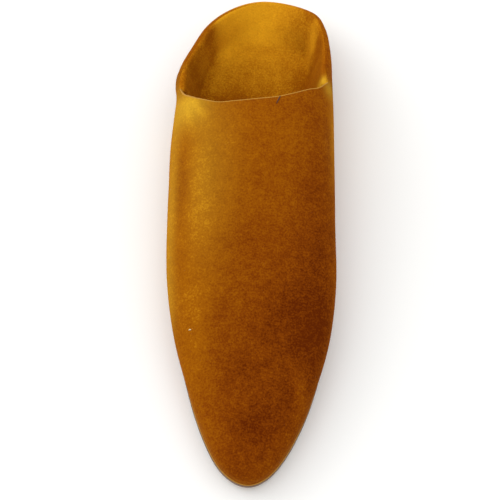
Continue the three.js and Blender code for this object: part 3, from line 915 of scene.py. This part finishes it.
lining, cut_edge = lining_material(), cut_edge_material()
for material in (suede, lining, cut_edge):
    upper.data.materials.append(material)
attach(upper, "root")
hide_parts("upper")
print("upper finishes:", [m.name for m in upper.data.materials])

# %% [markdown]
# ## Topline and a thread end
# The top edge of the vamp is turned over and pressed, so it ends in a fine bead that catches the
# light, fattest at the outer corner where the leather bunches. A short end of thread lies over it.

# %% A round cord along a line
def tube(name, centres, radii, finish, sides=8):
    """A round cord along a line of points, closed at both ends, its faces pointing outwards."""
    centres, radii = np.asarray(centres, float), np.broadcast_to(radii, len(centres))
    along = np.gradient(centres, axis=0)
    along /= np.linalg.norm(along, axis=1, keepdims=True)
    across = np.cross(along, (0.0, 0.0, 1.0))
    across /= np.linalg.norm(across, axis=1, keepdims=True)
    over = np.cross(across, along)
    turn = np.linspace(0, 2 * math.pi, sides, endpoint=False)
    ring = across[:, None] * np.cos(turn)[None, :, None] + over[:, None] * np.sin(turn)[None, :, None]
    verts = (centres[:, None] + ring * radii[:, None, None]).reshape(-1, 3)
    faces = [list(range(sides)), [len(verts) - 1 - k for k in range(sides)]]
    for i in range(len(centres) - 1):
        for k in range(sides):
            a, b = i * sides + k, i * sides + (k + 1) % sides
            faces.append([a, a + sides, b + sides, b])
    cord = mesh_object(name, in_frame(verts), faces)
    cord.data.materials.append(finish)
    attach(cord, "root")
    return cord


is_inner = np.arange(len(grid)) <= VAMP_COLUMNS
chain = np.concatenate([np.flatnonzero(is_vamp & ~is_inner), np.flatnonzero(is_vamp & is_inner)])
edge_points = points[top_edge[chain]]
print("topline from", edge_points[0].round(1).tolist(), "to", edge_points[-1].round(1).tolist())

# %% The bead, sunk into the edge and bunched at the outer corner
BEAD_RADIUS, BEAD_SUNK = 0.30, 0.75
CORNER_ACROSS, CORNER_REACH, CORNER_GAIN = -36.0, 6.0, 0.26
RIPPLE, RIPPLE_RATE = 0.4, 2.1  # share of the gain, and radians a millimetre

edge_normals = normals_of(points, triangles, NORMAL_ROUNDS)[top_edge[chain]]
bunched = np.exp(-(((edge_points[:, 0] - CORNER_ACROSS) / CORNER_REACH) ** 2))
ripple = 1 + RIPPLE * np.sin(edge_points[:, 0] * RIPPLE_RATE)
bead_radius = BEAD_RADIUS + CORNER_GAIN * bunched * ripple
bead_line = edge_points - edge_normals * (bead_radius * BEAD_SUNK)[:, None]
bead = tube("topline_bead", bead_line, bead_radius, cut_edge)
print("topline bead:", len(bead.data.polygons), "faces")


# %% Thread end and lint
def thread_material(name, tone):
    material, _, shader = new_material(name)
    shader.inputs["Base Color"].default_value = linear(tone)
    shader.inputs["Roughness"].default_value = 0.7
    return material


def on_arch(line, lift):
    """A line of (across, from toe) laid on the vamp, lifted by a height."""
    plan = np.array(line, float)
    return placed(plan, arch_height(plan) + lift)


waxed_thread = thread_material("waxed_brown_thread", "#4A2406")
pale_fibre = thread_material("pale_lint_fibre", "#E8D2A0")
thread_line = on_arch([(8.4, 189.6), (7.9, 188.3), (7.3, 186.8), (6.8, 185.4)], lift=0.05)
thread_end = tube("thread_end", thread_line, [0.26, 0.34, 0.32, 0.2], waxed_thread)
lint_line = on_arch([(-31.4, 70.9), (-30.9, 71.3), (-30.4, 71.0)], lift=0.3)
lint = tube("lint_fibre", lint_line, 0.22, pale_fibre)
for piece in (thread_end, lint):
    print(piece.name, len(piece.data.polygons), "faces")

# %% [markdown]
# ## Sole and insole
# Both are cut from flat leather, so each is a slab that follows the sole's gentle rise. The sole's
# two arrises are rubbed round when its edge is burnished.

# %% Slabs under the foot
SLAB_STATIONS, ARRIS_POINTS = 180, 4
CHANNEL = {"from": 4.4, "to": 5.9, "depth": 0.55, "slope": 0.25}
RIM_LIMIT = 0.8  # a face whose normal rises less than this belongs to the rim


def slab_ring(into, level):
    """The outline of a slab, a distance in from the sole's edge and a height above its rise."""
    angles = np.linspace(0, math.pi, SLAB_STATIONS + 1)
    inner_side = inset(SOLE, "inner", angles, into)
    outer_side = inset(SOLE, "outer", angles, into)[-2:0:-1]
    plan = np.concatenate([inner_side, outer_side])
    return placed(plan, sole_rise(plan[:, 1]) + level)


def slab(name, inset_by, bottom, top, arris, channel=None):
    """A flat layer between two heights, its arrises rounded; a channel is cut in its underside."""
    turns = np.linspace(0, math.pi / 2, ARRIS_POINTS)
    profile = []
    if channel:
        rise, near, far, slope = bottom + channel["depth"], channel["from"], channel["to"], channel["slope"]
        profile += [(far, bottom), (far - slope, rise), (near + slope, rise), (near, bottom)]
    profile += [(inset_by + arris * (1 - math.sin(t)), bottom + arris * (1 - math.cos(t))) for t in turns]
    profile += [(inset_by + arris * (1 - math.cos(t)), top - arris * (1 - math.sin(t))) for t in turns]
    rings = [slab_ring(*station) for station in profile]
    ring = len(rings[0])
    faces = []
    for k in range(len(rings) - 1):
        for i in range(ring):
            a, b = k * ring + i, k * ring + (i + 1) % ring
            faces.append((a, b, b + ring, a + ring))
    pairs = [(i, (ring - i) % ring) for i in range(SLAB_STATIONS + 1)]
    for first, flip in ((0, True), ((len(rings) - 1) * ring, False)):
        for (a, b), (c, d) in zip(pairs, pairs[1:]):
            face = [first + v for v in dict.fromkeys((a, c, d, b))]
            faces.append(face[::-1] if flip else face)
    return mesh_object(name, in_frame(np.concatenate(rings)), faces, smooth_shading=False)


def edge_kinds(slab_object):
    """One for the faces of the rim, which stand upright, and zero for the flats."""
    return [int(abs(face.normal.z) < RIM_LIMIT) for face in slab_object.data.polygons]


INSOLE_BOTTOM = SOLE_THICKNESS + GAP
INSOLE_TOP = INSOLE_BOTTOM + INSOLE_THICKNESS
outsole = slab("leather_outsole", 0.0, 0.0, SOLE_THICKNESS, arris=0.45, channel=CHANNEL)
insole = slab("leather_insole", INSOLE_INSET, INSOLE_BOTTOM, INSOLE_TOP, arris=0.3)
for piece in (outsole, insole):
    print(piece.name, len(piece.data.polygons), "faces")

# %% [markdown]
# ## Sole leather
# Vegetable-tanned leather, rolled hard: smooth, lightly glossy, with faint clouds and a fine grain. Its
# edge is burnished darker and glossier, and the layers of the hide show in it. The grain is drawn at
# about a millimetre and a half, coarser than it is, so that it shows.

# %% Materials: vegetable-tanned sole leather, burnished edge
SOLE_CLOUD, SOLE_GRAIN, HIDE_LAYER = 33.3, 1.43, 3.85


def sole_material():
    material, tree, shader = new_material("vegetable_tanned_sole")
    where = node(tree, "ShaderNodeTexCoord").outputs["Object"]
    clouds = noise_of(tree, where, SOLE_CLOUD, 5.0)
    tree.links.new(mixed(tree, clouds, "#8A5A2A", "#A8753C"), shader.inputs["Base Color"])
    shader.inputs["Roughness"].default_value = 0.5
    grain = noise_of(tree, where, SOLE_GRAIN, 4.0)
    bump = node(tree, "ShaderNodeBump", Height=grain, Strength=0.15, Distance=0.3 * MM)
    tree.links.new(bump.outputs[0], shader.inputs["Normal"])
    return material


def burnished_material():
    material, tree, shader = new_material("burnished_edge")
    where = node(tree, "ShaderNodeTexCoord").outputs["Object"]
    layers = noise_of(tree, where, HIDE_LAYER, 4.0)
    tree.links.new(mixed(tree, layers, "#44260A", "#744818"), shader.inputs["Base Color"])
    shader.inputs["Roughness"].default_value = 0.4
    return material


sole_leather, burnished = sole_material(), burnished_material()
for finish in (sole_leather, burnished):
    outsole.data.materials.append(finish)
outsole.data.polygons.foreach_set("material_index", edge_kinds(outsole))
insole.data.materials.append(lining)
for piece, cad_node, slot in ((outsole, "outsole", "sole_leather"), (insole, "insole", "sock_leather")):
    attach(piece, "root")
    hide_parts(cad_node)
print("soles ride on the root")

# %% [markdown]
# ## Feather line
# Where the upper is turned under, the raw edge of the suede shows as a fine pale line on the sole.

# %% Feather line
FEATHER_RADIUS, FEATHER_PROUD = 0.34, 0.1
feather = slab_ring(FEATHER_INSET - FEATHER_PROUD, SOLE_THICKNESS + GAP / 2)
feather_line = tube("feather_line", np.concatenate([feather, feather[:1]]), FEATHER_RADIUS, cut_edge)
print("feather line:", len(feather_line.data.polygons), "faces")

# %% [markdown]
# ## Channel stitches
# The sole is sewn on by hand from below. The thread lies in a shallow channel, so that the floor does
# not wear it through: one short waxed stitch after another, all round, each a little out of line.

# %% The stitch tree
STITCH = {"Pitch": 5.2 * MM, "Stitch length": 3.8 * MM, "Thread radius": 0.24 * MM, "Wobble": 0.12 * MM}
STITCH_SEED = 7
STITCH_DROP = 0.16  # from the roof of the channel down to the middle of the thread
THREAD_SIDES = 8


def stitch_tree():
    """Rows one stitch to each step of a line, and turns it along the line."""
    tree = bpy.data.node_groups.new("channel_stitches", "GeometryNodeTree")
    tree.interface.new_socket("Geometry", in_out="INPUT", socket_type="NodeSocketGeometry")
    sockets = {}
    for name, size in STITCH.items():
        socket = tree.interface.new_socket(name, in_out="INPUT", socket_type="NodeSocketFloat")
        socket.default_value = size
        sockets[name] = socket.identifier
    seed = tree.interface.new_socket("Seed", in_out="INPUT", socket_type="NodeSocketInt")
    finish = tree.interface.new_socket("Thread", in_out="INPUT", socket_type="NodeSocketMaterial")
    sockets.update({"Seed": seed.identifier, "Thread": finish.identifier})
    tree.interface.new_socket("Geometry", in_out="OUTPUT", socket_type="NodeSocketGeometry")
    given = node(tree, "NodeGroupInput").outputs
    line = node(tree, "GeometryNodeMeshToCurve", Mesh=given["Geometry"])
    steps = node(tree, "GeometryNodeResampleCurve", {"mode": "LENGTH"}, Curve=line.outputs[0],
                 Length=given["Pitch"])
    along = node(tree, "GeometryNodeInputTangent").outputs[0]
    turned = node(tree, "FunctionNodeAlignRotationToVector", {"axis": "Z"}, Vector=along)
    stitch = node(tree, "GeometryNodeMeshCylinder", Vertices=THREAD_SIDES, Side_Segments=1,
                  Radius=given["Thread radius"], Depth=given["Stitch length"])
    laid = node(tree, "GeometryNodeInstanceOnPoints", Points=steps.outputs[0],
                Instance=stitch.outputs["Mesh"], Rotation=turned.outputs[0])
    spread = node(tree, "ShaderNodeVectorMath", {"operation": "SCALE"}, i0=(1.0, 1.0, 0.0),
                  Scale=given["Wobble"])
    back = node(tree, "ShaderNodeVectorMath", {"operation": "SCALE"}, i0=spread.outputs[0], Scale=-1.0)
    wobble = node(tree, "FunctionNodeRandomValue", {"data_type": "FLOAT_VECTOR"}, i0=back.outputs[0],
                  i1=spread.outputs[0], Seed=given["Seed"])
    moved = node(tree, "GeometryNodeTranslateInstances", Instances=laid.outputs[0],
                 Translation=wobble.outputs[0], Local_Space=False)
    real = node(tree, "GeometryNodeRealizeInstances", Geometry=moved.outputs[0])
    finished = node(tree, "GeometryNodeSetMaterial", Geometry=real.outputs[0], Material=given["Thread"])
    node(tree, "NodeGroupOutput", Geometry=finished.outputs[0])
    return tree, sockets


stitching, stitch_inputs = stitch_tree()
print("stitch tree:", len(stitching.nodes), "nodes, inputs", list(stitch_inputs))

# %% Stitches laid in the channel
channel_middle = (CHANNEL["from"] + CHANNEL["to"]) / 2
guide_points = slab_ring(channel_middle, CHANNEL["depth"] - STITCH_DROP)
guide_mesh = bpy.data.meshes.new("stitch_guide")
guide_edges = [(i, (i + 1) % len(guide_points)) for i in range(len(guide_points))]
guide_mesh.from_pydata([tuple(p) for p in in_frame(guide_points)], guide_edges, [])
guide = bpy.data.objects.new("stitch_guide", guide_mesh)
bpy.context.scene.collection.objects.link(guide)
repeat = guide.modifiers.new("stitches", "NODES")
repeat.node_group = stitching
for name, setting in {**STITCH, "Seed": STITCH_SEED, "Thread": waxed_thread}.items():
    repeat[stitch_inputs[name]] = setting
seen = bpy.context.evaluated_depsgraph_get()
stitch_mesh = bpy.data.meshes.new_from_object(guide.evaluated_get(seen))
guide.modifiers.remove(repeat)
bpy.data.objects.remove(guide)
stitches = bpy.data.objects.new("channel_stitches", stitch_mesh)
bpy.context.scene.collection.objects.link(stitches)
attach(stitches, "root")
print("channel stitches:", len(stitch_mesh.polygons), "faces")

# %% [markdown]
# ## Floor, light and camera
# A plain pale floor, and a bright pale sky that fills the shadows. Two large soft lamps stand on the
# heel's outer side, one high and one low, so that the slipper is bright there and falls off towards
# the toe and the inner side.

# %% Floor
FLOOR_REACH = 3  # metres, from the shoe to each edge
floor_corners = [(x * FLOOR_REACH, y * FLOOR_REACH, 0) for x, y in ((-1, -1), (1, -1), (1, 1), (-1, 1))]
floor_mesh = bpy.data.meshes.new("floor")
floor_mesh.from_pydata(floor_corners, [], [(0, 1, 2, 3)])
floor = bpy.data.objects.new("floor", floor_mesh)
bpy.context.scene.collection.objects.link(floor)
floor_finish, _, floor_shader = new_material("pale_floor")
floor_shader.inputs["Base Color"].default_value = linear("#F4F4F2")
floor_shader.inputs["Roughness"].default_value = 0.9
floor.data.materials.append(floor_finish)
print("floor at height 0")


# %% Lamps and sky
SKY_STRENGTH = 0.96


def lamp(name, place_m, aim_m, size_m, watts):
    data = bpy.data.lights.new(name, "AREA")
    data.shape = "DISK"
    data.size = size_m
    data.energy = watts
    obj = bpy.data.objects.new(name, data)
    obj.location = place_m
    obj.rotation_euler = (Vector(aim_m) - Vector(place_m)).to_track_quat("-Z", "Y").to_euler()
    bpy.context.scene.collection.objects.link(obj)


lamp("key_lamp", place_m=(-0.38, 0.42, 1.3), aim_m=(0, 0, 0.02), size_m=2.5, watts=7.4)
lamp("side_lamp", place_m=(-1.1, 0.45, 0.6), aim_m=(0, 0, 0.02), size_m=1.0, watts=4.6)
world = bpy.data.worlds.new("pale_sky")
world.use_nodes = True
world.node_tree.nodes["Background"].inputs["Color"].default_value = (1, 1, 1, 1)
world.node_tree.nodes["Background"].inputs["Strength"].default_value = SKY_STRENGTH
bpy.context.scene.world = world
bpy.context.scene.view_settings.view_transform = "Standard"


# %% Camera
SENSOR_MM = 36


def camera(place_m, aim_m, roll_degrees, lens_mm):
    data = bpy.data.cameras.new("camera")
    data.lens = lens_mm
    data.sensor_width = SENSOR_MM
    back = (Vector(place_m) - Vector(aim_m)).normalized()
    right = Vector((0, 0, 1)).cross(back).normalized()
    up = back.cross(right)
    c, s = math.cos(math.radians(roll_degrees)), math.sin(math.radians(roll_degrees))
    right, up = right * c + up * s, up * c - right * s
    obj = bpy.data.objects.new("camera", data)
    obj.matrix_world = Matrix.Translation(place_m) @ Matrix((right, up, back)).transposed().to_4x4()
    bpy.context.scene.collection.objects.link(obj)
    bpy.context.scene.camera = obj
    print("camera looks down at", round(math.degrees(math.asin(back.z))), "degrees")


camera(place_m=(0.0026, -0.3864, 0.8829), aim_m=(-0.0006, -0.0125, 0.015), roll_degrees=1.91, lens_mm=135.7)
